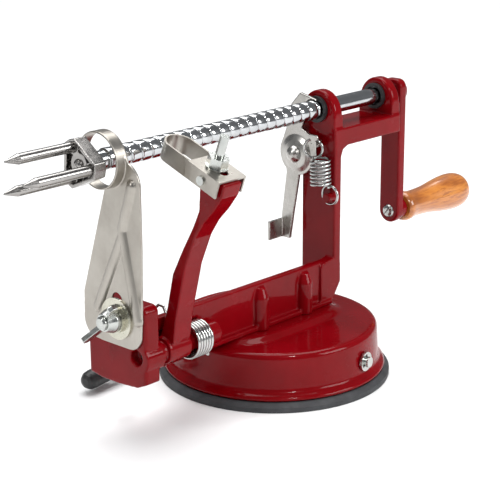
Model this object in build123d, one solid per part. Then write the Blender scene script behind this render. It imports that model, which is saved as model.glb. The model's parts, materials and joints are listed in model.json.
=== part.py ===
"""Hand-cranked apple peeler, corer and slicer on a suction base.

Frame of reference: millimetres, +Z up, origin on the table at the centre of the
round base. +X runs along the feed screw from the fork to the crank, and -Y is
the side the peeling arm swings out to.
"""
import os
from math import atan2, cos, degrees, hypot, radians, sin

from build123d import *

# ---- feed screw -------------------------------------------------------------
SHAFT_Z = 124.2          # screw axis above the table
LEAD = 6.0               # one slice thickness per turn
CORE_R = 4.05            # plain rod
THREAD_R = 4.75          # over the thread lands
THREAD_X0, THREAD_X1 = -106.0, 29.0
SHAFT_X0, SHAFT_X1 = -117.5, 93.6
BUSH_BORE_R = 4.84
BUSH_R, BUSH_FLANGE_R = 5.6, 6.4

# ---- fork -------------------------------------------------------------------
FORK_X0, FORK_X1 = -119.8, -113.4
TINE_TIP_X = -154.3
TINE_R = 2.3
TINE_CIRCLE_R = 7.8
TINE_ANGLES = (66.0, 186.0, 306.0)

# ---- corer blade ------------------------------------------------------------
RING_R = 12.5
RING_WALL = 0.9
RING_X0 = -109.0
BLADE_X0, BLADE_X1 = -104.1, -102.9
BOLT_Y, BOLT_Z = -4.2, 54.5

# ---- cast frame -------------------------------------------------------------
BLOCK_X0, BLOCK_X1 = -102.8, -94.0
BAR_Z0, BAR_Z1 = 28.5, 51.0
WEB_Y0, WEB_Y1 = -10.0, -6.0      # the bar is a thin web over a wide bottom flange
BOSS_Y = -10.0
UP_X0, UP_X1 = 31.0, 35.8
UP_Y0, UP_Y1 = -11.5, 9.5
YOKE_Z0, YOKE_Z1 = 106.5, 115.3
EAR_HALF, EAR_RISE = 10.65, 9.1    # half width, and height above the screw axis
EARS = ((31.0, 37.2), (75.0, 81.2))
BOSS_X = (-20.5, 10.3)

# ---- peeling arm ------------------------------------------------------------
PIVOT_Y, PIVOT_Z = -14.5, 37.8
PIN_R = 2.5
HUB_R = 4.6
HUB_X0, HUB_X1 = -91.6, -62.4
ARM_X0, ARM_X1 = -87.0, -76.5
HEAD_TILT = 20.3         # the head slopes down towards -Y
HEAD_Y, HEAD_Z = -42.6, 122.95   # middle of the bracket's top face
HEAD_X = -81.0

# ---- base -------------------------------------------------------------------
PAD_R = 56.0
DISH_R = 50.3
DISH_TOP = 26.0
AXLE_TURN = 9.2          # the cam axle lies this far round from the Y axis
AXLE_Z = 14.5

# ---- crank ------------------------------------------------------------------
CRANK_X0, CRANK_X1 = 87.8, 92.8
CRANK_LEN = 62.6
CRANK_TOP = 6.5           # the arm ends this far above the screw axis
HANDLE_X0, HANDLE_X1 = 97.6, 153.0

# ---- release lever ----------------------------------------------------------
LEVER_X0, LEVER_X1 = 26.7, 28.4
LEVER_Y, LEVER_Z = 9.6, 101.5
STUD = (-10.2, 82.6)     # (y, z) of the spring's lower stud
SPRING_TOP_EYE = (24.5, -3.2, 106.3)
SPRING_LOW_EYE = (28.0, -11.0, 84.0)
SPRING_FOOT = (25.2, -7.6, 88.2)  # bottom of the coil, on its axis


# ---- helpers ----------------------------------------------------------------
def box(x0, x1, y0, y1, z0, z1):
    return Pos((x0 + x1) / 2, (y0 + y1) / 2, (z0 + z1) / 2) * Box(x1 - x0, y1 - y0, z1 - z0)


def rod_x(x0, x1, r, y=0.0, z=0.0):
    return Pos((x0 + x1) / 2, y, z) * Rot(0, 90, 0) * Cylinder(r, x1 - x0)


def rod_y(y0, y1, r, x=0.0, z=0.0):
    return Pos(x, (y0 + y1) / 2, z) * Rot(90, 0, 0) * Cylinder(r, y1 - y0)


def rod_z(z0, z1, r, x=0.0, y=0.0):
    return Pos(x, y, (z0 + z1) / 2) * Cylinder(r, z1 - z0)


def plate_x(points, x0, x1):
    """Plate square to X from an outline of (y, z) points."""
    face = make_face(Polyline(*points, close=True))
    return extrude(Plane.YZ.offset(x0) * face, amount=x1 - x0)


def plate_y(points, y0, y1):
    """Plate square to Y from an outline of (x, z) points."""
    face = make_face(Polyline(*points, close=True))
    return extrude(Plane.XZ.offset(-y0) * face, amount=-(y1 - y0))


def turned_x(profile, y, z):
    """Solid of revolution about an X axis from (x, r) points."""
    face = make_face(Polyline(*profile, close=True))
    return Pos(0, y, z) * revolve(Plane.XY * face, axis=Axis.X, revolution_arc=360)


def arc_points(cy, cz, r, a0, a1, n=8):
    return [(cy + r * cos(radians(a0 + (a1 - a0) * i / n)),
             cz + r * sin(radians(a0 + (a1 - a0) * i / n))) for i in range(n + 1)]


def wire_rod(points, r):
    """Round wire through the points, with a ball at every bend."""
    solid = None
    for a, b in zip(points, points[1:]):
        a, b = Vector(*a), Vector(*b)
        leg = Plane(origin=(a + b) * 0.5, z_dir=(b - a)) * Cylinder(r, (b - a).length)
        solid = leg if solid is None else solid + leg
    for p in points[1:-1]:
        solid = solid + Pos(*p) * Sphere(r)
    return solid


def coil(pitch, height, radius, wire, direction=(1, 0, 0), center=(0, 0, 0), lefthand=False):
    path = Helix(pitch=pitch, height=height, radius=radius, center=center,
                 direction=direction, lefthand=lefthand)
    return path, sweep(Plane(origin=path @ 0, z_dir=path % 0) * Circle(wire), path=path,
                       is_frenet=True)


def save(node, *solids):
    shape = solids[0] if len(solids) == 1 else Compound(children=list(solids))
    export_step(shape, f"parts/{node}.step")


# ---- base: suction pad, dish, plunger, cam axle and lever -------------------
def suction_pad():
    lip = Polyline((40, 0), (PAD_R, 0), (PAD_R, 2.4), (53.4, 4.2), (44, 4.2), (40, 3.6), close=True)
    ring = revolve(Plane.XZ * make_face(lip), axis=Axis.Z, revolution_arc=360)
    membrane = rod_z(1.6, 3.6, 41.0)
    boss = rod_z(3.0, 8.0, 8.0)
    return ring + membrane + boss


def base_dish():
    outer = Polyline((0, 4.5), (53.2, 4.5), (53.7, 5.3), (53.3, 6.4), (51.6, 7.8), (DISH_R, 9.2),
                     (DISH_R, 23.4), (49.6, 25.1), (48.0, DISH_TOP), (0, DISH_TOP), close=True)
    inner = Polyline((0, 3.5), (47.6, 3.5), (47.2, 21.0), (45.4, 22.8), (0, 22.8), close=True)
    dish = revolve(Plane.XZ * make_face(outer), axis=Axis.Z, revolution_arc=360)
    dish = dish - revolve(Plane.XZ * make_face(inner), axis=Axis.Z, revolution_arc=360)
    saddle = extrude(Pos(-4, -2, DISH_TOP - 1.0) * RectangleRounded(78, 38, 12),
                     amount=1.0 + BAR_Z0 - DISH_TOP)
    saddle = chamfer(saddle.edges().group_by(Axis.Z)[-1], 2.0)
    turn = Rot(0, 0, AXLE_TURN)
    dish = dish + saddle
    for side in (-1, 1):
        boss = rod_y(min(side * 44.5, side * DISH_R), max(side * 44.5, side * DISH_R), 5.2, 0, AXLE_Z)
        dish = dish + turn * boss
    dish = dish - turn * rod_y(-60, 60, 2.56, 0, AXLE_Z)
    for x in BOSS_X:
        dish = dish - rod_z(20, 30, 2.1, x, BOSS_Y)
    return dish


def pad_plunger():
    """Lift stud above the pad: the eccentric turns in its cross window."""
    turn = Rot(0, 0, AXLE_TURN)
    head = turn * box(-7.6, 7.6, -4.0, 4.0, 9.0, 20.2)
    window = turn * box(-5.9, 5.9, -9, 9, AXLE_Z - 4.1, AXLE_Z + 4.4)
    return rod_z(8.3, 12.0, 6.0) + head - window


def cam_axle():
    axle = rod_y(-53.8, 57.0, 2.5, 0, AXLE_Z)
    eccentric = rod_y(-3.6, 3.6, 3.9, -1.3, AXLE_Z)
    return Rot(0, 0, AXLE_TURN) * (axle + eccentric)


def axle_clip():
    clip = rod_y(-51.9, -50.8, 4.6, 0, AXLE_Z) - rod_y(-53, -50, 2.5, 0, AXLE_Z)
    for a in (90, 210, 330):
        x, z = 2.9 * cos(radians(a)), AXLE_Z + 2.9 * sin(radians(a))
        clip = clip - rod_y(-60, -40, 0.75, x, z)
    return Rot(0, 0, AXLE_TURN) * clip


def suction_lever():
    """Flat steel lever beside the dish; it slopes down to its grip."""
    eye = rod_y(53.4, 56.4, 5.6, 0, AXLE_Z)
    arm = plate_y([(0, AXLE_Z + 4.2), (-52, AXLE_Z - 4.6), (-52, AXLE_Z - 10.6), (0, AXLE_Z - 4.2)],
                  53.4, 56.4)
    return Rot(0, 0, AXLE_TURN) * (eye + arm - rod_y(50, 60, 2.5, 0, AXLE_Z))


def lever_grip():
    grip = turned_x([(-77.2, 0), (-77.2, 1.8), (-76.5, 3.3), (-74.7, 4.3), (-72, 4.6), (-50, 4.2),
                     (-49, 3.4), (-49, 0)], 54.9, 0)
    grip = Pos(0, 0, 6.4) * grip
    slot = box(-60, -40, 53.4, 56.4, 2.0, 14.0)
    return Rot(0, 0, AXLE_TURN) * (grip - slot)


# ---- cast frame -------------------------------------------------------------
def frame_casting():
    block = plate_x([(-20, 27.2), (-14, 24.4), (-3, 23.4), (9, 23.3), (17.2, 24.6), (17.2, 62), (-20, 62)],
                    BLOCK_X0, BLOCK_X1)
    block = fillet(block.edges().filter_by(Axis.X).group_by(Axis.Z)[-1], 3.5)
    block = fillet(block.faces().sort_by(Axis.Z)[-1].edges().filter_by(Axis.Y), 1.6)
    lug = rod_x(BLOCK_X0, -92.0, 7.0, PIVOT_Y, PIVOT_Z)
    web = box(BLOCK_X1 - 1, UP_X0 + 1, WEB_Y0, WEB_Y1, BAR_Z0, BAR_Z1)
    thick = box(BLOCK_X1 - 1, -58.0, WEB_Y1 - 1, 4.5, BAR_Z0, 44.0)
    foot = box(BLOCK_X1 - 1, 29.4, WEB_Y0 - 2.2, 11.2, BAR_Z0, BAR_Z0 + 2.6)
    cheek = plate_y([(21.5, BAR_Z0), (29.4, BAR_Z0), (36.2, 38.5), (UP_X1, 60), (UP_X0, 53), (UP_X0, 51.8),
                     (22.8, 50.4), (21.5, 49.0)], UP_Y0, WEB_Y1)
    upright = plate_y([(26.0, BAR_Z0), (29.4, BAR_Z0), (36.2, 38.5), (UP_X1, 60), (UP_X1, YOKE_Z0 - 5),
                       (UP_X1 + 1.5, YOKE_Z0 - 1.5), (UP_X1 + 5, YOKE_Z0), (EARS[1][1], YOKE_Z0),
                       (EARS[1][1], YOKE_Z1), (UP_X0, YOKE_Z1), (UP_X0, 33.5), (26.0, BAR_Z0 + 2.6)],
                      UP_Y0, UP_Y1)
    casting = block + lug + web + thick + foot + cheek + upright
    for x0, x1 in EARS:
        mid_z = SHAFT_Z - 3.0
        outline = Pos(-0.25, mid_z) * Ellipse(EAR_HALF, EAR_RISE + 3.0)
        ear = extrude(Plane.YZ.offset(x0) * outline, amount=x1 - x0)
        ear = fillet(ear.edges().group_by(Axis.X)[0] + ear.edges().group_by(Axis.X)[-1], 1.3)
        casting = casting + ear + box(x0, x1, -0.25 - EAR_HALF, -0.25 + EAR_HALF, YOKE_Z0 + 1, mid_z)
    for x in BOSS_X:
        casting = casting + rod_z(BAR_Z0, 44.0, 4.3, x, BOSS_Y)
        casting = casting + Pos(x, BOSS_Y, 46.5) * Cone(4.3, 2.4, 5.0)
    rear = rod_x(-62.0, -56.0, 5.6, PIVOT_Y, PIVOT_Z)
    rear = rear + box(-62.0, -56.0, PIVOT_Y, WEB_Y0 + 1, PIVOT_Z - 4.8, PIVOT_Z + 5.4)
    rivet_lug = rod_x(LEVER_X1 + 0.3, UP_X1, 7.0, LEVER_Y, LEVER_Z)
    stud = rod_x(26.2, UP_X0 + 1, 2.0, *STUD) + rod_x(25.8, 26.6, 2.5, *STUD)
    casting = casting + rear + rivet_lug + stud

    casting = casting - rod_x(-92.0, -62.0, 8.9, PIVOT_Y, PIVOT_Z)
    casting = casting - rod_x(-120, BLOCK_X0 + 4.2, 3.6, PIVOT_Y + 0.4, PIVOT_Z + 0.6)
    casting = casting - rod_x(-100, -50, PIN_R, PIVOT_Y, PIVOT_Z)
    casting = casting - rod_x(-110, -90, 3.05, BOLT_Y, BOLT_Z)
    casting = casting - box(-98.6, -90, BOLT_Y - 4.6, BOLT_Y + 4.6, BOLT_Z - 3.6, BOLT_Z + 3.6)
    casting = casting - rod_x(LEVER_X1 - 2, 40, 1.6, LEVER_Y, LEVER_Z)
    casting = casting - rod_x(UP_X1, 40, 3.0, LEVER_Y, LEVER_Z)
    for x0, x1 in EARS:
        casting = casting - rod_x(x0 - 3, x1 + 3, BUSH_R, 0, SHAFT_Z)
    for x in BOSS_X:
        casting = casting - rod_z(20, 40, 1.7, x, BOSS_Y)
    return casting


def shaft_bushing(x0, x1):
    body = rod_x(x0 - 1.7, x1, BUSH_R, 0, SHAFT_Z) + rod_x(x0 - 1.7, x0, BUSH_FLANGE_R, 0, SHAFT_Z)
    return body - rod_x(x0 - 9, x1 + 9, BUSH_BORE_R, 0, SHAFT_Z)


def base_screws():
    out = []
    for x in BOSS_X:
        shank = rod_z(22.6, 39.0, 1.7, x, BOSS_Y)
        head = rod_z(20.4, 22.7, 3.4, x, BOSS_Y)
        out.append(shank + head - box(x - 2.6, x + 2.6, BOSS_Y - 0.4, BOSS_Y + 0.4, 20, 21.4))
    return out


# ---- corer blade and its clamp ----------------------------------------------
def corer_blade():
    left = [(1.7, 110.2), (17.2, 62.4), (17.5, 54.0)]
    corner = arc_points(8.5, 50.6, 9.2, 8, -62, 6)
    foot = [(5.0, 41.9), (-9.0, 42.0)] + arc_points(-11.6, 49.2, 7.2, -90, -170, 6)
    right = [(-19.6, 62.0), (-20.4, 90.0), (-20.4, 113.5)] + arc_points(-10.0, 114.6, 10.4, 178, 110, 7)
    ring = [(-9.5, 132.3), (0.0, 128.0)]
    plate = plate_x(left + corner + foot + right + ring, BLADE_X0, BLADE_X1)
    plate = plate + rod_x(BLADE_X0, BLADE_X1, RING_R, 0, SHAFT_Z)
    plate = plate + rod_x(RING_X0, BLADE_X1, RING_R, 0, SHAFT_Z)
    blade = plate + rib((-15.8, 115.0), (-9.0, 95.0)) + rib((-9.0, 95.0), (-17.0, 56.0))
    blade = blade + rib((-9.2, 92.0), (8.0, 57.0))
    blade = blade - rod_x(-130, -90, RING_R - RING_WALL, 0, SHAFT_Z)
    slot = box(-120, -90, BOLT_Y - 3.05, BOLT_Y + 3.05, 50.0, 63.0)
    return blade - slot - rod_x(-120, -90, 3.05, BOLT_Y, 50.0) - rod_x(-120, -90, 3.05, BOLT_Y, 63.0)


def rib(a, b):
    """Wide rounded stiffening ridge pressed out of the blade from a to b (y, z)."""
    r, rise = 2.8, 1.8
    x = BLADE_X0 + r - rise
    ridge = wire_rod([(x, *a), (x, *b)], r) + Pos(x, *a) * Sphere(r) + Pos(x, *b) * Sphere(r)
    return ridge - box(BLADE_X1 - 0.3, BLADE_X1 + 10, -60, 60, 0, 200)


def blade_bolt():
    shank = rod_x(-114.2, -94.6, 3.0, BOLT_Y, BOLT_Z)
    head = box(-98.4, -94.6, BOLT_Y - 4.4, BOLT_Y + 4.4, BOLT_Z - 3.4, BOLT_Z + 3.4)
    return chamfer(shank.edges().group_by(Axis.X)[0], 0.7) + head


def blade_washer():
    return rod_x(-105.1, -104.1, 9.3, BOLT_Y, BOLT_Z) + rod_x(-106.9, -105.1, 6.2, BOLT_Y, BOLT_Z) \
        - rod_x(-120, -90, 3.0, BOLT_Y, BOLT_Z)


def wing_nut():
    hub = turned_x([(-107.0, 0), (-107.0, 5.6), (-108.6, 5.4), (-112.4, 3.9), (-112.4, 0)], BOLT_Y, BOLT_Z)
    nut = hub
    for side in (-1, 1):
        wing = plate_y([(-107.6, 1.5), (-111.8, 2.0), (-116.8, 12.6), (-115.6, 14.4), (-113.2, 14.4),
                        (-107.6, 5.4)], -1.15, 1.15)
        wing = Rot(0 if side > 0 else 180, 0, 0) * wing
        nut = nut + Pos(0, BOLT_Y, BOLT_Z) * Rot(-135, 0, 0) * wing
    return nut - rod_x(-120, -90, 3.03, BOLT_Y, BOLT_Z)


# ---- screw, fork and crank --------------------------------------------------
def drive_shaft():
    core = rod_x(SHAFT_X0, SHAFT_X1, CORE_R)
    core = chamfer(core.edges().group_by(Axis.X)[-1], 0.5)
    length = THREAD_X1 - THREAD_X0
    path = Helix(pitch=LEAD, height=length, radius=CORE_R, direction=(1, 0, 0), center=(THREAD_X0, 0, 0))
    start = path @ 0
    outward = Vector(0, start.Y, start.Z).normalized()
    section = Plane(origin=start, x_dir=(1, 0, 0), z_dir=Vector(1, 0, 0).cross(outward))
    land = THREAD_R - CORE_R
    outline = Polyline((-2.6, -0.5), (2.6, -0.5), (1.95, land), (-1.95, land), close=True)
    thread = sweep(section * make_face(outline), path=path, is_frenet=True)
    return Pos(0, 0, SHAFT_Z) * (core + thread)


def fork_plate():
    outer = [(11.2 * cos(radians(a + d)), 11.2 * sin(radians(a + d)))
             for a in TINE_ANGLES for d in (-17, 0, 17)]
    inner = [(y * 0.82, z * 0.82) for y, z in outer]
    cup = plate_x(outer, FORK_X0, FORK_X1)
    cup = cup - plate_x(inner, FORK_X0 - 1, FORK_X1 - 2.2)
    hub = rod_x(-118.6, FORK_X1 + 1.6, 5.2)
    cup = cup + hub - rod_x(SHAFT_X0, -100, CORE_R) - rod_x(-130, -110, 1.5)
    for a in TINE_ANGLES:
        y, z = TINE_CIRCLE_R * cos(radians(a)), TINE_CIRCLE_R * sin(radians(a))
        cup = cup + rod_x(FORK_X0 + 1.0, FORK_X1, 3.3, y, z) - rod_x(-130, -110, TINE_R, y, z)
    return Pos(0, 0, SHAFT_Z) * cup


def fork_tines():
    out = []
    for a in TINE_ANGLES:
        y, z = TINE_CIRCLE_R * cos(radians(a)), SHAFT_Z + TINE_CIRCLE_R * sin(radians(a))
        out.append(turned_x([(FORK_X1, 0), (FORK_X1, TINE_R), (TINE_TIP_X + 7, TINE_R),
                             (TINE_TIP_X + 0.6, 0.45), (TINE_TIP_X, 0)], y, z))
    return out


def fork_rivet():
    head = turned_x([(-120.3, 0), (-120.1, 1.2), (-119.4, 2.3), (-118.6, 2.6), (-118.6, 0)], 0, SHAFT_Z)
    return head + rod_x(-118.8, -117.5, 1.5, 0, SHAFT_Z)


def crank_arm():
    low = SHAFT_Z - CRANK_LEN
    upper = box(CRANK_X0, CRANK_X1, -6.1, 6.1, low, SHAFT_Z + CRANK_TOP)
    upper = fillet(upper.edges().filter_by(Axis.X).group_by(Axis.Z)[-1], 4.0)
    arm = upper + rod_x(CRANK_X0, CRANK_X1, 6.1, 0, low)
    arm = fillet(arm.edges().filter_by(GeomType.CIRCLE), 0.9)
    boss = rod_x(CRANK_X1 - 1, 94.2, 5.6, 0, SHAFT_Z)
    collar = rod_x(CRANK_X1 - 1, 97.2, 5.4, 0, low)
    arm = arm + boss + collar - rod_x(80, SHAFT_X1, CORE_R, 0, SHAFT_Z)
    return arm - rod_x(SHAFT_X1 - 0.1, 100, 1.7, 0, SHAFT_Z) - rod_x(80, 110, 2.0, 0, low)


def crank_rivet():
    return turned_x([(SHAFT_X1, 0), (SHAFT_X1, 1.7), (94.2, 1.7), (94.2, 3.9), (95.2, 3.4), (96.2, 1.9),
                     (96.6, 0)], 0, SHAFT_Z)


def handle_screw():
    low = SHAFT_Z - CRANK_LEN
    head = turned_x([(CRANK_X0 - 1.5, 0), (CRANK_X0 - 1.4, 1.6), (CRANK_X0 - 0.9, 2.8), (CRANK_X0, 3.3),
                     (CRANK_X0, 0)], 0, low)
    slot = Pos(CRANK_X0 - 1.35, 0, low) * Rot(38, 0, 0) * Box(1.3, 0.8, 8)
    return head + rod_x(CRANK_X0, HANDLE_X1 - 8, 2.0, 0, low) - slot


def crank_handle():
    low = SHAFT_Z - CRANK_LEN
    x0, x1 = HANDLE_X0, HANDLE_X1
    top = [(x0, 6.6), (x0 + 1.2, 7.4), (x0 + 6, 7.3), (x0 + 13, 7.0), (x0 + 21, 7.4), (x0 + 30, 8.6),
           (x0 + 38, 9.5), (x0 + 45, 9.6), (x0 + 50.5, 8.2), (x1 - 2.0, 5.6), (x1, 0)]
    edge = Spline(*top)
    body = make_face(edge + Polyline((x1, 0), (x0, 0), (x0, 6.6)))
    handle = Pos(0, 0, low) * revolve(Plane.XY * body, axis=Axis.X, revolution_arc=360)
    return handle - rod_x(x0 - 1, x1 - 7.6, 2.08, 0, low)


# ---- peeling arm ------------------------------------------------------------
def head_place(along, up):
    """(y, z) of a point in the tilted head: along rises towards +Y, up is square to the top face."""
    t, n = radians(HEAD_TILT), radians(HEAD_TILT + 90)
    return (HEAD_Y + along * cos(t) + up * cos(n), HEAD_Z + along * sin(t) + up * sin(n))


def head_box(x0, x1, a0, a1, u0, u1):
    y, z = head_place((a0 + a1) / 2, (u0 + u1) / 2)
    return Pos((x0 + x1) / 2, y, z) * Rot(HEAD_TILT, 0, 0) * Box(x1 - x0, a1 - a0, u1 - u0)


def head_rod(u0, u1, r, x, along):
    y, z = head_place(along, (u0 + u1) / 2)
    return Pos(x, y, z) * Rot(HEAD_TILT, 0, 0) * Cylinder(r, u1 - u0)


def peeler_arm():
    left = [(-11.0, PIVOT_Z), (-12.6, 44.0), (-17.1, 58.0), (-20.9, 74.0), (-27.2, 86.0), (-33.6, 97.0),
            (-37.4, 105.0)]
    right = [(-50.5, 112.5), (-48.8, 110.3), (-45.1, 105.5), (-39.5, 99.6), (-34.7, 92.4), (-28.7, 78.4),
             (-22.2, 52.9), (-20.8, 43.0), (-18.6, PIVOT_Z)]
    top = [head_place(1.4, -9.0), head_place(8.2, -9.0), head_place(8.2, -1.3), head_place(-11.0, -1.3)]
    arm = plate_x(left + top + right, ARM_X0, ARM_X1)
    hub = rod_x(HUB_X0, HUB_X1, HUB_R, PIVOT_Y, PIVOT_Z)
    hub = hub + rod_x(ARM_X0 - 1.6, ARM_X1 + 1.0, 6.2, PIVOT_Y, PIVOT_Z)
    arm = arm + hub - rod_x(-100, -50, PIN_R + 0.05, PIVOT_Y, PIVOT_Z)
    return arm - head_rod(-9.5, 0, 2.0, HEAD_X, 0.6)


def pivot_pin():
    return rod_x(-98.4, -55.6, PIN_R, PIVOT_Y, PIVOT_Z)


def arm_spring():
    """Torsion spring round the arm's tube, with a short straight leg at each end."""
    wire, r, x0, x1 = 0.7, 7.55, -73.0, -63.28
    body = coil(1.62, x1 - x0, r, wire, (1, 0, 0), (x0, 0, 0), lefthand=True)[1]
    body = Rot(180, 0, 0) * body
    for x, y, z in ((x0, 3.2, 0.1), (x1, -3.6, -0.2)):
        leg = wire_rod([(x, 0, -r), (x, y, z - r)], 0.97 * wire)
        body = body + Pos(x, 0, -r) * Sphere(wire)
        body = body + leg
    return Pos(0, PIVOT_Y, PIVOT_Z) * body


def arm_catch_wire():
    """Bent wire standing on the bar behind the block; the arm rests against it."""
    x = -89.4
    bends = [(7.2, BAR_Z1 - 1), (7.2, 57.0), (5.0, 59.6), (1.0, 60.0), (-2.0, 58.4), (-5.0, 55.0),
             (-9.6, 54.6), (-12.4, 57.4), (-14.6, 59.4), (-17.4, 59.2), (-18.8, 56.6)]
    return wire_rod([(x, y, z) for y, z in bends], 0.65)


def peeler_bracket():
    outer = head_box(HEAD_X - 8, HEAD_X + 8, -9.4, 9.4, -7.6, 0)
    inner = head_box(HEAD_X - 7.1, HEAD_X + 7.1, -12, 12, -12, -0.9)
    slot = head_box(HEAD_X - 2.15, HEAD_X + 2.15, -3.8, 1.8, -3, 3)
    slot = slot + head_rod(-3, 3, 2.15, HEAD_X, -3.8) + head_rod(-3, 3, 2.15, HEAD_X, 1.8)
    bracket = outer - inner - slot
    y, z = head_place(0.0, -4.2)
    return bracket - rod_x(-100, -60, 1.25, y, z)


def peeler_blade():
    """Sharpened strip bent to a U; its two legs sit inside the bracket's cheeks."""
    loop, u0, u1 = 22.5, -8.4, -0.3
    legs = head_box(HEAD_X - 6.95, HEAD_X + 6.95, -3.0, loop, -6.8, -1.9)
    tall = head_box(HEAD_X - 6.95, HEAD_X + 6.95, 10.0, loop, u0, u1)
    y, z = head_place(loop, (u0 + u1) / 2)
    bend = Pos(HEAD_X, y, z) * Rot(HEAD_TILT, 0, 0) * Cylinder(6.95, u1 - u0)
    bend_in = Pos(HEAD_X, y, z) * Rot(HEAD_TILT, 0, 0) * Cylinder(6.2, 12.0)
    inner = head_box(HEAD_X - 6.2, HEAD_X + 6.2, -8.0, loop, -12.0, 3.0)
    blade = legs + tall + bend - inner - bend_in
    y, z = head_place(0.0, -4.2)
    return blade - rod_x(-100, -60, 1.3, y, z)


def peeler_rivets():
    y, z = head_place(0.0, -4.2)
    out = []
    for side in (-1, 1):
        x_in, x_out = HEAD_X + side * 6.0, HEAD_X + side * 8.0
        lo, hi = min(x_in, x_out), max(x_in, x_out)
        mid = x_out + side * 0.45
        out.append(rod_x(lo, hi, 1.2, y, z) + rod_x(mid - 0.45, mid + 0.45, 2.0, y, z))
    return out


def bracket_bolt():
    return head_rod(-9.0, 15.0, 2.0, HEAD_X, 0.6)


def bracket_washer():
    return head_rod(0.02, 1.0, 4.9, HEAD_X, 0.6) - head_rod(-1, 2, 2.0, HEAD_X, 0.6)


def bracket_nut():
    y, z = head_place(0.6, 1.02)
    nut = Pos(HEAD_X, y, z) * Rot(HEAD_TILT, 0, 0) * extrude(RegularPolygon(4.7, 6), amount=4.4)
    return nut - head_rod(0, 8, 2.0, HEAD_X, 0.6)


# ---- thread release lever ---------------------------------------------------
def release_lever():
    notch_r = THREAD_R + 0.35
    notch = arc_points(0, SHAFT_Z, notch_r, 118, -42, 10)
    hook = [(-2.6, 129.6), (7.6, 131.8), (13.2, 125.6), (15.4, 116.0), (18.4, 108.0)]
    head = plate_x(notch[::-1] + [(-2.4, 128.9)] + hook + arc_points(LEVER_Y, LEVER_Z, 10.8, 30, -200, 16)
                   + [(-4.4, 106.9), (-5.2, 110.2), (1.0, 111.6), (6.6, 114.6)], LEVER_X0, LEVER_X1)
    tail = plate_x([(16.6, 96), (16.2, 90.9), (19.3, 68.8), (20.4, 57.4), (14.0, 57.4), (11.6, 72.1),
                    (8.4, 89.5), (7.4, 96)], LEVER_X0, LEVER_X1)
    thumb = box(LEVER_X0 - 9.5, LEVER_X1, 18.6, 20.1, 57.4, 67.0)
    tab = box(22.3, LEVER_X0 + 0.3, -5.6, -3.2, 108.1, 109.4)
    tip = [(-6.3, 103.4), (-4.3, 103.4), (-4.0, 110.2), (-2.2, 112.4), (-2.8, 113.6), (-7.0, 113.6),
           (-7.6, 112.4), (-6.0, 110.2)]
    dome = turned_x([(LEVER_X0 - 2.1, 0), (LEVER_X0 - 1.9, 4.0), (LEVER_X0 - 1.2, 7.0), (LEVER_X0, 9.4),
                     (LEVER_X1, 9.4), (LEVER_X1 - 1.2, 7.0), (LEVER_X1 - 1.9, 4.0), (LEVER_X1 - 2.1, 0)],
                    LEVER_Y, LEVER_Z)
    lever = head + tail + thumb - rod_x(LEVER_X0 - 1, LEVER_X1 + 1, 9.0, LEVER_Y, LEVER_Z) + dome
    return lever + tab + plate_x(tip, 22.3, 23.3) - rod_x(20, 35, 1.65, LEVER_Y, LEVER_Z)


def lever_rivet():
    x = LEVER_X0 - 2.2
    cap = turned_x([(x - 2.9, 0), (x - 2.5, 1.8), (x - 1.5, 3.4), (x, 4.2), (x, 0)], LEVER_Y, LEVER_Z)
    cap = cap + rod_x(x - 0.1, 35.8, 1.6, LEVER_Y, LEVER_Z)
    return cap + rod_x(35.8, 36.8, 2.8, LEVER_Y, LEVER_Z)


def lever_spring():
    """Open-wound pull spring with side eyes, from the lever's tab down to the stud on the upright."""
    wire, r, pitch, turns, eye_r = 0.62, 4.55, 1.8, 7.5, 4.6
    path, body = coil(pitch, pitch * turns, r, wire, (0, 0, 1), (0, 0, 0))
    place = Pos(*SPRING_FOOT) * Rot(-3, 0, 0) * Rot(0, 0, -90)
    body = place * body
    for end, eye, turn, side in ((path @ 1, SPRING_TOP_EYE, 22, -1), (path @ 0, SPRING_LOW_EYE, 0, 1)):
        x, y, z = (place * Pos(end.X, end.Y, end.Z)).position
        join = (eye[0], eye[1], eye[2] + side * eye_r)
        ring = Pos(*eye) * Rot(0, 0, turn) * Rot(0, 90, 0) * Torus(eye_r, wire)
        ring = ring + Pos(*join) * Sphere(wire + 0.06)
        ring = ring + wire_rod([(x, y, z), join], 0.97 * wire)
        body = body + Pos(x, y, z) * Sphere(wire) + ring
    return body


# ---- write the parts --------------------------------------------------------
if __name__ == "__main__":
    os.makedirs("parts", exist_ok=True)
    save("suction_pad", suction_pad())
    save("base_dish", base_dish())
    save("pad_plunger", pad_plunger())
    save("cam_axle", cam_axle())
    save("axle_clip", axle_clip())
    save("suction_lever", suction_lever())
    save("lever_grip", lever_grip())
    save("main_frame", frame_casting())
    save("front_bushing", shaft_bushing(*EARS[0]))
    save("rear_bushing", shaft_bushing(*EARS[1]))
    save("base_screws", *base_screws())
    save("corer_blade", corer_blade())
    save("blade_bolt", blade_bolt())
    save("blade_washer", blade_washer())
    save("wing_nut", wing_nut())
    save("drive_shaft", drive_shaft())
    save("fork_plate", fork_plate())
    save("fork_tines", *fork_tines())
    save("fork_rivet", fork_rivet())
    save("crank_arm", crank_arm())
    save("crank_rivet", crank_rivet())
    save("handle_screw", handle_screw())
    save("crank_handle", crank_handle())
    save("peeler_arm", peeler_arm())
    save("pivot_pin", pivot_pin())
    save("peeler_bracket", peeler_bracket())
    save("peeler_blade", peeler_blade())
    save("peeler_rivets", *peeler_rivets())
    save("bracket_bolt", bracket_bolt())
    save("bracket_washer", bracket_washer())
    save("bracket_nut", bracket_nut())
    save("release_lever", release_lever())
    save("lever_rivet", lever_rivet())
    save("arm_spring", arm_spring())
    save("arm_catch_wire", arm_catch_wire())
    save("lever_spring", lever_spring())
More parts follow.
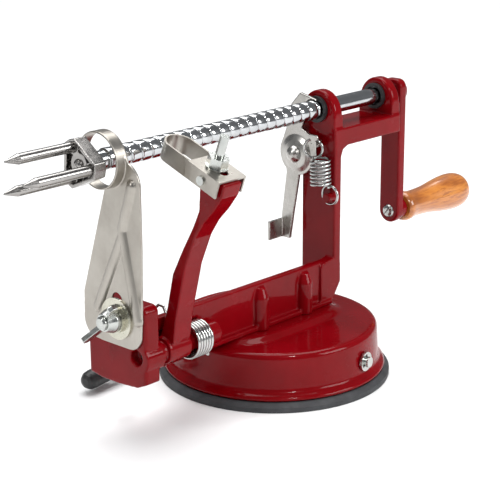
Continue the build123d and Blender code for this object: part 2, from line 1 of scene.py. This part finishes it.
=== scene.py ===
"""Visual model of a hand-cranked apple peeler, corer and slicer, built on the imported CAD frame.

Pieces that a CAD solid draws well enough only take a material here. The screw, the dish and the cast or
pressed pieces get meshes of their own. Shapes are in millimetres, the floor, lights and camera in metres.
"""
import json
from math import cos, pi, radians, sin, sqrt

import bpy
from mathutils import Matrix, Vector


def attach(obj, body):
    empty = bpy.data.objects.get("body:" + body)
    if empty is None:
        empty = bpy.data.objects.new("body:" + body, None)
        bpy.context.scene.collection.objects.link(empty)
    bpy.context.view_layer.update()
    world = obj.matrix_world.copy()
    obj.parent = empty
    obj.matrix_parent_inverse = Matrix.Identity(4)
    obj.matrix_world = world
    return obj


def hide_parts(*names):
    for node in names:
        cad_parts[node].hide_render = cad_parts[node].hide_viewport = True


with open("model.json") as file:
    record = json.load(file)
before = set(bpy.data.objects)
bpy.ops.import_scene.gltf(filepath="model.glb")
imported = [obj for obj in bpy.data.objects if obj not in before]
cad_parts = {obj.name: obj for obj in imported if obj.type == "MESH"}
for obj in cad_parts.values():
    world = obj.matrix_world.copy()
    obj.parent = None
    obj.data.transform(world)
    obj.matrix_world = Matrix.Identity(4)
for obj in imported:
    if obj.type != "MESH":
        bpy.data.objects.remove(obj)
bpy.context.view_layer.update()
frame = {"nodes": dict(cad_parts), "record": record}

NODES = frame["nodes"]
MM = 0.001
NOISE_LOW, NOISE_HIGH = 0.3, 0.7     # most of a noise's values lie between these


# ---- node materials ----------------------------------------------------------
class Mat:
    """A Principled material with helpers for noise-driven sockets."""

    def __init__(self, name, **sockets):
        self.mat = bpy.data.materials.new(name)
        self.mat.use_nodes = True
        self.tree = self.mat.node_tree
        self.bsdf = self.tree.nodes["Principled BSDF"]
        self.coord = self.node("ShaderNodeTexCoord")
        for key, value in sockets.items():
            self.bsdf.inputs[key.replace("_", " ")].default_value = value

    def node(self, kind, **props):
        n = self.tree.nodes.new(kind)
        for key, value in props.items():
            setattr(n, key, value)
        return n

    def link(self, a, b):
        self.tree.links.new(a, b)

    def noise(self, scale, stretch=(1, 1, 1), detail=4.0, rough=0.5, distortion=0.0):
        mapping = self.node("ShaderNodeMapping")
        mapping.inputs["Scale"].default_value = stretch
        self.link(self.coord.outputs["Object"], mapping.inputs["Vector"])
        n = self.node("ShaderNodeTexNoise")
        n.inputs["Scale"].default_value = scale
        n.inputs["Detail"].default_value = detail
        n.inputs["Roughness"].default_value = rough
        n.inputs["Distortion"].default_value = distortion
        self.link(mapping.outputs["Vector"], n.inputs["Vector"])
        return n.outputs["Fac"]

    def ramp(self, fac, stops):
        r = self.node("ShaderNodeValToRGB")
        ramp = r.color_ramp
        while len(ramp.elements) < len(stops):
            ramp.elements.new(0.5)
        for element, (at, colour) in zip(ramp.elements, stops):
            element.position = at
            element.color = (*colour, 1)
        self.link(fac, r.inputs["Fac"])
        return r.outputs["Color"]

    def span(self, fac, lo, hi):
        """A noise's usual values spread over lo to hi."""
        m = self.node("ShaderNodeMapRange")
        m.inputs["From Min"].default_value = NOISE_LOW
        m.inputs["From Max"].default_value = NOISE_HIGH
        m.inputs["To Min"].default_value = lo
        m.inputs["To Max"].default_value = hi
        self.link(fac, m.inputs["Value"])
        return m.outputs["Result"]

    def colour(self, fac, dark, light):
        ramp = self.ramp(fac, [(NOISE_LOW, dark), (NOISE_HIGH, light)])
        self.link(ramp, self.bsdf.inputs["Base Color"])

    def roughness(self, fac, lo, hi):
        self.link(self.span(fac, lo, hi), self.bsdf.inputs["Roughness"])

    def bump(self, *layers):
        """layers are (height, strength, distance in metres), coarse to fine."""
        last = None
        for fac, strength, distance in layers:
            b = self.node("ShaderNodeBump")
            b.inputs["Strength"].default_value = strength
            b.inputs["Distance"].default_value = distance
            self.link(fac, b.inputs["Height"])
            if last:
                self.link(last, b.inputs["Normal"])
            last = b.outputs["Normal"]
        self.link(last, self.bsdf.inputs["Normal"])


def enamel(name, dark, light):
    m = Mat(name, Coat_Weight=0.42, Coat_Roughness=0.03, Coat_IOR=1.38, Specular_IOR_Level=0.03)
    m.colour(m.noise(55, detail=5), dark, light)
    m.roughness(m.noise(140, detail=6), 0.16, 0.30)
    m.bump((m.noise(90, detail=2), 0.10, 0.0009), (m.noise(420, detail=3), 0.10, 0.0003))
    return m.mat


def metal(name, dark, light, rough, brush=(1, 1, 1), scale=300, bump=0.1):
    """brush stretches the grain: a small number makes it run long along that axis."""
    m = Mat(name, Metallic=1.0)
    m.colour(m.noise(70, detail=6, rough=0.6), dark, light)
    m.roughness(m.noise(scale, brush, detail=6), *rough)
    m.bump((m.noise(scale, brush, detail=5), bump, 0.0003),
           (m.noise(2200, detail=3), bump * 0.7, 0.0001))
    return m.mat


def plastic(name, dark, light, rough, grain=1600):
    m = Mat(name, Specular_IOR_Level=0.45)
    m.colour(m.noise(160, detail=6), dark, light)
    m.roughness(m.noise(240, detail=5), *rough)
    m.bump((m.noise(grain, detail=4), 0.25, 0.0002))
    return m.mat


MIX_A, MIX_B, MIX_RESULT = 6, 7, 2     # the Mix node's colour sockets, which share their names


def wood(name):
    """Varnished wood with its grain and pores along X, which is the handle's own axis."""
    m = Mat(name, Coat_Weight=0.9, Coat_Roughness=0.09, Coat_IOR=1.5, Specular_IOR_Level=0.4)
    grain = m.noise(120, (0.18, 1.0, 1.0), detail=8, rough=0.62, distortion=0.9)
    pores = m.noise(900, (0.10, 1.0, 1.0), detail=5, rough=0.6)
    base = m.ramp(grain, [(0.30, (0.24, 0.062, 0.008)), (0.45, (0.44, 0.135, 0.018)),
                          (0.58, (0.57, 0.20, 0.030)), (0.72, (0.66, 0.26, 0.050))])
    flecks = m.ramp(pores, [(0.36, (0.45, 0.30, 0.18)), (0.50, (1, 1, 1))])
    mix = m.node("ShaderNodeMix", data_type="RGBA", blend_type="MULTIPLY")
    m.link(m.span(grain, 0.35, 0.8), mix.inputs["Factor"])
    m.link(base, mix.inputs[MIX_A])
    m.link(flecks, mix.inputs[MIX_B])
    m.link(mix.outputs[MIX_RESULT], m.bsdf.inputs["Base Color"])
    m.roughness(m.noise(200, (0.2, 1, 1), detail=5), 0.28, 0.42)
    m.bump((grain, 0.12, 0.0006), (pores, 0.10, 0.0002))
    return m.mat


RED = enamel("red_enamel", (0.155, 0.0005, 0.0020), (0.200, 0.0010, 0.0040))
CHROME = metal("screw_chrome", (0.44, 0.45, 0.46), (0.56, 0.57, 0.58), (0.11, 0.17), bump=0.01)
PEWTER = metal("fork_nickel", (0.26, 0.25, 0.24), (0.40, 0.385, 0.37), (0.16, 0.30), scale=260, bump=0.16)
SATIN = metal("satin_steel", (0.35, 0.325, 0.29), (0.44, 0.415, 0.375), (0.27, 0.38),
              brush=(1, 1, 0.06), scale=700)
LEVER_STEEL = metal("lever_steel", (0.40, 0.385, 0.36), (0.50, 0.485, 0.46), (0.22, 0.33),
                    brush=(1, 1, 0.3), scale=500)
ZINC = metal("zinc_plate", (0.40, 0.415, 0.40), (0.56, 0.575, 0.55), (0.16, 0.30), scale=420, bump=0.14)
YELLOW_ZINC = metal("yellow_zinc", (0.44, 0.43, 0.36), (0.60, 0.585, 0.50), (0.18, 0.30),
                    scale=420, bump=0.12)
SPRING = metal("spring_wire", (0.42, 0.42, 0.41), (0.58, 0.58, 0.57), (0.14, 0.24), scale=500, bump=0.08)
BLACK = plastic("black_nylon", (0.010, 0.010, 0.011), (0.020, 0.020, 0.021), (0.34, 0.48))
RUBBER = plastic("grey_rubber", (0.030, 0.031, 0.034), (0.052, 0.054, 0.058), (0.55, 0.74), grain=1100)
WOOD = wood("varnished_wood")

LOOK = {
    "suction_pad": RUBBER, "base_dish": RED, "pad_plunger": ZINC, "cam_axle": ZINC, "axle_clip": ZINC,
    "suction_lever": ZINC, "lever_grip": BLACK, "main_frame": RED, "front_bushing": BLACK,
    "rear_bushing": BLACK, "base_screws": ZINC, "corer_blade": SATIN, "blade_bolt": ZINC,
    "blade_washer": YELLOW_ZINC, "wing_nut": ZINC, "drive_shaft": CHROME, "fork_plate": PEWTER,
    "fork_tines": PEWTER, "fork_rivet": PEWTER, "crank_arm": RED, "crank_rivet": RED,
    "handle_screw": ZINC, "crank_handle": WOOD, "peeler_arm": RED, "pivot_pin": ZINC,
    "peeler_bracket": SATIN, "peeler_blade": SATIN, "peeler_rivets": ZINC, "bracket_bolt": ZINC,
    "bracket_washer": ZINC, "bracket_nut": ZINC, "release_lever": LEVER_STEEL, "lever_rivet": LEVER_STEEL,
    "arm_spring": SPRING, "lever_spring": SPRING, "arm_catch_wire": SPRING,
}
BODY = {n: b for b, ns in frame["record"]["behaviour"]["bodies"].items() for n in ns}
JOINTS = {j["name"]: j for j in frame["record"]["behaviour"]["joints"]}

for node, obj in NODES.items():
    obj.data.materials.clear()
    obj.data.materials.append(LOOK[node])
    for poly in obj.data.polygons:
        poly.material_index = 0


# ---- mesh helpers ------------------------------------------------------------
def piece(name, mesh, node):
    """A new object that stands for a CAD node, rides on its body and takes its slot."""
    obj = bpy.data.objects.new(name, mesh)
    bpy.context.scene.collection.objects.link(obj)
    mesh.materials.clear()
    mesh.materials.append(LOOK[node])
    for poly in mesh.polygons:
        poly.use_smooth = True
    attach(obj, BODY[node])
    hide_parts(node)


def evaluated(source, *mods):
    """The mesh of a copy of source with modifiers applied: each is (kind, {property: value})."""
    temp = bpy.data.objects.new("temp", source.copy())
    bpy.context.scene.collection.objects.link(temp)
    for kind, props in mods:
        m = temp.modifiers.new(kind, kind)
        for key, value in props.items():
            setattr(m, key, value)
    graph = bpy.context.evaluated_depsgraph_get()
    mesh = bpy.data.meshes.new_from_object(temp.evaluated_get(graph))
    bpy.data.objects.remove(temp)
    return mesh


def cast_soft(node, voxel, rounds):
    """The CAD shape remeshed in voxels of so many millimetres, then smoothed so that its edges wear round."""
    coarse = 1.0
    mesh = evaluated(NODES[node].data,
                     ("REMESH", {"mode": "VOXEL", "voxel_size": voxel * coarse * MM, "adaptivity": 0.0}),
                     ("SMOOTH", {"factor": 0.5, "iterations": rounds}))
    piece(node + "_soft", mesh, node)


def extent(node):
    """The lowest and the highest corner of a CAD node's box, in millimetres."""
    places = [v.co / MM for v in NODES[node].data.vertices]
    return [[pick(p[i] for p in places) for i in range(3)] for pick in (min, max)]


def grid_mesh(name, rings):
    """A closed skin over rings of points in millimetres, all rings the same length, with both ends capped."""
    n = len(rings[0])
    verts = [p for ring in rings for p in ring]
    faces = []
    for i in range(len(rings) - 1):
        for j in range(n):
            k = (j + 1) % n
            faces.append((i * n + j, i * n + k, (i + 1) * n + k, (i + 1) * n + j))
    faces.append(tuple(reversed(range(n))))
    faces.append(tuple((len(rings) - 1) * n + j for j in range(n)))
    mesh = bpy.data.meshes.new(name)
    mesh.from_pydata([Vector(v) * MM for v in verts], [], faces)
    mesh.validate()
    return mesh


# ---- the feed screw, in millimetres ------------------------------------------
(SHAFT_X0, _, SHAFT_LOW), (SHAFT_X1, _, SHAFT_HIGH) = extent("drive_shaft")
SHAFT_Z = (SHAFT_LOW + SHAFT_HIGH) / 2
LAND_R = (SHAFT_HIGH - SHAFT_LOW) / 2
GROOVE_DEPTH = 0.7
CORE_R = LAND_R - GROOVE_DEPTH
THREAD_X0, THREAD_X1 = -106.0, 29.0
TURNS = JOINTS["crank_turn"]["range_deg"][1] / 360
LEAD = JOINTS["screw_feed"]["range_m"][1] / MM / TURNS
LAND_POWER = 3.4                     # the higher, the flatter the land and the narrower the groove
RUN_OUT = 1.2                        # over which the thread fades in and out
END_BEVEL = 0.6                      # at the crank's end


def thread_radius(phase):
    """Radius at a place along one lead of the screw: a wide rounded land and a narrow groove."""
    half = LEAD / 2
    t = abs((phase % LEAD) - half) / half       # 0 at the middle of the land, 1 at the groove
    return CORE_R + (LAND_R - CORE_R) * sqrt(max(0.0, 1.0 - t ** LAND_POWER))


def screw_radius(x, angle):
    """Radius of the whole screw at x and at an angle around it."""
    if SHAFT_X1 - x < END_BEVEL:
        return CORE_R - (END_BEVEL - (SHAFT_X1 - x))
    if THREAD_X0 <= x <= THREAD_X1:
        fade = min(1.0, (x - THREAD_X0) / RUN_OUT, (THREAD_X1 - x) / RUN_OUT)
        return CORE_R + fade * (thread_radius(x - LEAD * angle / (2 * pi)) - CORE_R)
    return CORE_R


def feed_screw():
    step = 0.14
    segments = 80
    count = int((SHAFT_X1 - SHAFT_X0) / step)
    rings = []
    for i in range(count + 1):
        x = SHAFT_X0 + (SHAFT_X1 - SHAFT_X0) * i / count
        ring = []
        for j in range(segments):
            a = 2 * pi * j / segments
            r = screw_radius(x, a)
            ring.append((x, r * cos(a), SHAFT_Z + r * sin(a)))
        rings.append(ring)
    piece("feed_screw", grid_mesh("feed_screw", rings), "drive_shaft")


# ---- the pressed base dish, in millimetres -----------------------------------
DISH_TOP = 25.9
AXIS_R = 0.4              # the rings end just off the dish's axis, and a cap closes them
DISH_INSIDE = [           # (radius, height) from the middle of the ceiling down to the lip
    (AXIS_R, 22.8), (30.0, 22.8), (45.6, 22.4), (46.9, 20.5), (47.2, 6.0)]
DISH_OUTSIDE = [          # (radius, height) from the lip's inner edge, over the rim, to the middle
    (47.6, 4.5), (52.6, 4.5), (53.3, 4.7), (53.7, 5.3), (53.6, 5.9), (53.1, 6.5), (52.4, 7.0), (51.7, 7.5),
    (51.1, 8.1), (50.7, 8.8), (50.5, 9.8), (50.4, 12.0), (50.0, 20.0), (49.85, 22.8), (49.7, 23.9),
    (49.4, 24.7), (48.9, 25.3), (48.2, 25.7), (47.2, 25.95), (45.8, 26.0), (43.5, 25.95),
    (38.0, DISH_TOP), (AXIS_R, DISH_TOP)]
SEAT_X, SEAT_Y = -4.0, -2.0              # the middle of the raised seat under the bar
SEAT_HALF_X, SEAT_HALF_Y = 41.0, 20.5
SEAT_RISE = 2.62
SEAT_POWER_X, SEAT_POWER_Y = 3.2, 2.6    # the higher, the squarer the seat's outline
SEAT_POWER = 2.9
SEAT_FOOT, SEAT_BLEND = 1.03, 0.24       # where its slope ends, and the slope's length, in half sizes
SEAT_MIN_Z = 24.0                        # above the ceiling inside, which stays flat


def seat_height(x, y):
    """How far the pressed seat rises over the dish's flat top: a soft pillow with rounded ends."""
    u, v = (x - SEAT_X) / SEAT_HALF_X, (y - SEAT_Y) / SEAT_HALF_Y
    d = (abs(u) ** SEAT_POWER_X + abs(v) ** SEAT_POWER_Y) ** (1 / SEAT_POWER)
    t = max(0.0, min(1.0, (SEAT_FOOT - d) / SEAT_BLEND))
    return SEAT_RISE * t * t * (3 - 2 * t)


def dense(profile, step):
    """The profile with its long runs cut into short steps."""
    out = [profile[0]]
    for (r0, z0), (r1, z1) in zip(profile, profile[1:]):
        n = max(1, int(sqrt((r1 - r0) ** 2 + (z1 - z0) ** 2) / step))
        out += [(r0 + (r1 - r0) * i / n, z0 + (z1 - z0) * i / n) for i in range(1, n + 1)]
    return out


def dish_skin():
    segments = 220
    step = 0.7
    rings = []
    for r, z in [*DISH_INSIDE, *dense(DISH_OUTSIDE, step)]:
        ring = []
        for j in range(segments):
            a = 2 * pi * j / segments
            x, y = r * cos(a), r * sin(a)
            rise = seat_height(x, y) if z > SEAT_MIN_Z else 0.0
            ring.append((x, y, z + rise))
        rings.append(ring)
    piece("dish_skin", grid_mesh("dish_skin", rings), "base_dish")


CAST_SOFT = {             # node: (voxel in millimetres, rounds of smoothing)
    "main_frame": (0.36, 9), "peeler_arm": (0.32, 9), "crank_arm": (0.35, 6), "corer_blade": (0.22, 10),
    "fork_plate": (0.24, 5), "wing_nut": (0.16, 9), "release_lever": (0.24, 5),
}

feed_screw()
dish_skin()
for node, (voxel, rounds) in CAST_SOFT.items():
    cast_soft(node, voxel, rounds)


# ---- floor, light and camera -------------------------------------------------
FLOOR_HALF = 6           # metres


def stage_floor():
    corners = [(x * FLOOR_HALF, y * FLOOR_HALF, 0) for x, y in ((-1, -1), (1, -1), (1, 1), (-1, 1))]
    mesh = bpy.data.meshes.new("floor")
    mesh.from_pydata(corners, [], [(0, 1, 2, 3)])
    obj = bpy.data.objects.new("floor", mesh)
    bpy.context.scene.collection.objects.link(obj)
    m = Mat("floor_white", Specular_IOR_Level=0.2)
    m.colour(m.noise(3, detail=2), (0.90, 0.90, 0.90), (0.93, 0.93, 0.93))
    m.roughness(m.noise(8), 0.55, 0.65)
    mesh.materials.append(m.mat)


def area_light(name, at, target, size, power):
    """A white rectangle of so many watts, aimed at target. Places and sizes are metres."""
    data = bpy.data.lights.new(name, "AREA")
    data.shape = "RECTANGLE"
    data.size, data.size_y = size
    data.energy = power
    obj = bpy.data.objects.new(name, data)
    bpy.context.scene.collection.objects.link(obj)
    obj.location = at
    aim = Vector(target) - Vector(at)
    obj.rotation_mode = "QUATERNION"
    obj.rotation_quaternion = aim.to_track_quat("-Z", "Y")


def light_the_stage():
    world = bpy.data.worlds.new("studio")
    bpy.context.scene.world = world
    world.use_nodes = True
    background = world.node_tree.nodes["Background"]
    background.inputs["Color"].default_value = (0.93, 0.96, 1.0, 1)
    background.inputs["Strength"].default_value = 0.22
    area_light("top_box", (0.5, 0.7, 2.5), (0, 0, 0), (2.4, 2.4), 80.0)
    area_light("front_box", (0.45, -1.10, 0.55), (0, 0, 0.07), (0.7, 0.5), 9.0)
    area_light("left_strip", (-1.1, 0.25, 0.80), (0, 0, 0.08), (0.10, 0.6), 4.0)
    area_light("key_spark", (-0.35, -0.75, 0.85), (0, 0, 0.08), (0.12, 0.12), 4.0)


CAMERA_AT = (-0.5052, -0.4620, 0.2731)     # metres
LENS, SENSOR = 108.0, 36.0                 # millimetres


def place_camera():
    """Three-quarter view from the fork's side, with a slight roll, as the photograph was taken."""
    azimuth, elevation, roll = radians(-46.6), radians(17.2), radians(-0.3)
    back = Vector((sin(azimuth) * cos(elevation), -cos(azimuth) * cos(elevation), sin(elevation)))
    side = Vector((cos(azimuth), sin(azimuth), 0))
    up = back.cross(side)
    right = side * cos(roll) + up * sin(roll)
    up = up * cos(roll) - side * sin(roll)
    camera = bpy.data.cameras.new("camera")
    camera.lens, camera.sensor_width, camera.sensor_fit = LENS, SENSOR, "HORIZONTAL"
    camera.clip_start, camera.clip_end = 0.01, 50
    obj = bpy.data.objects.new("camera", camera)
    bpy.context.scene.collection.objects.link(obj)
    turn = Matrix((right, up, back)).transposed().to_4x4()
    obj.matrix_world = Matrix.Translation(CAMERA_AT) @ turn
    bpy.context.scene.camera = obj


bpy.context.scene.view_settings.view_transform = "Standard"
stage_floor()
light_the_stage()
place_camera()
bpy.context.view_layer.update()
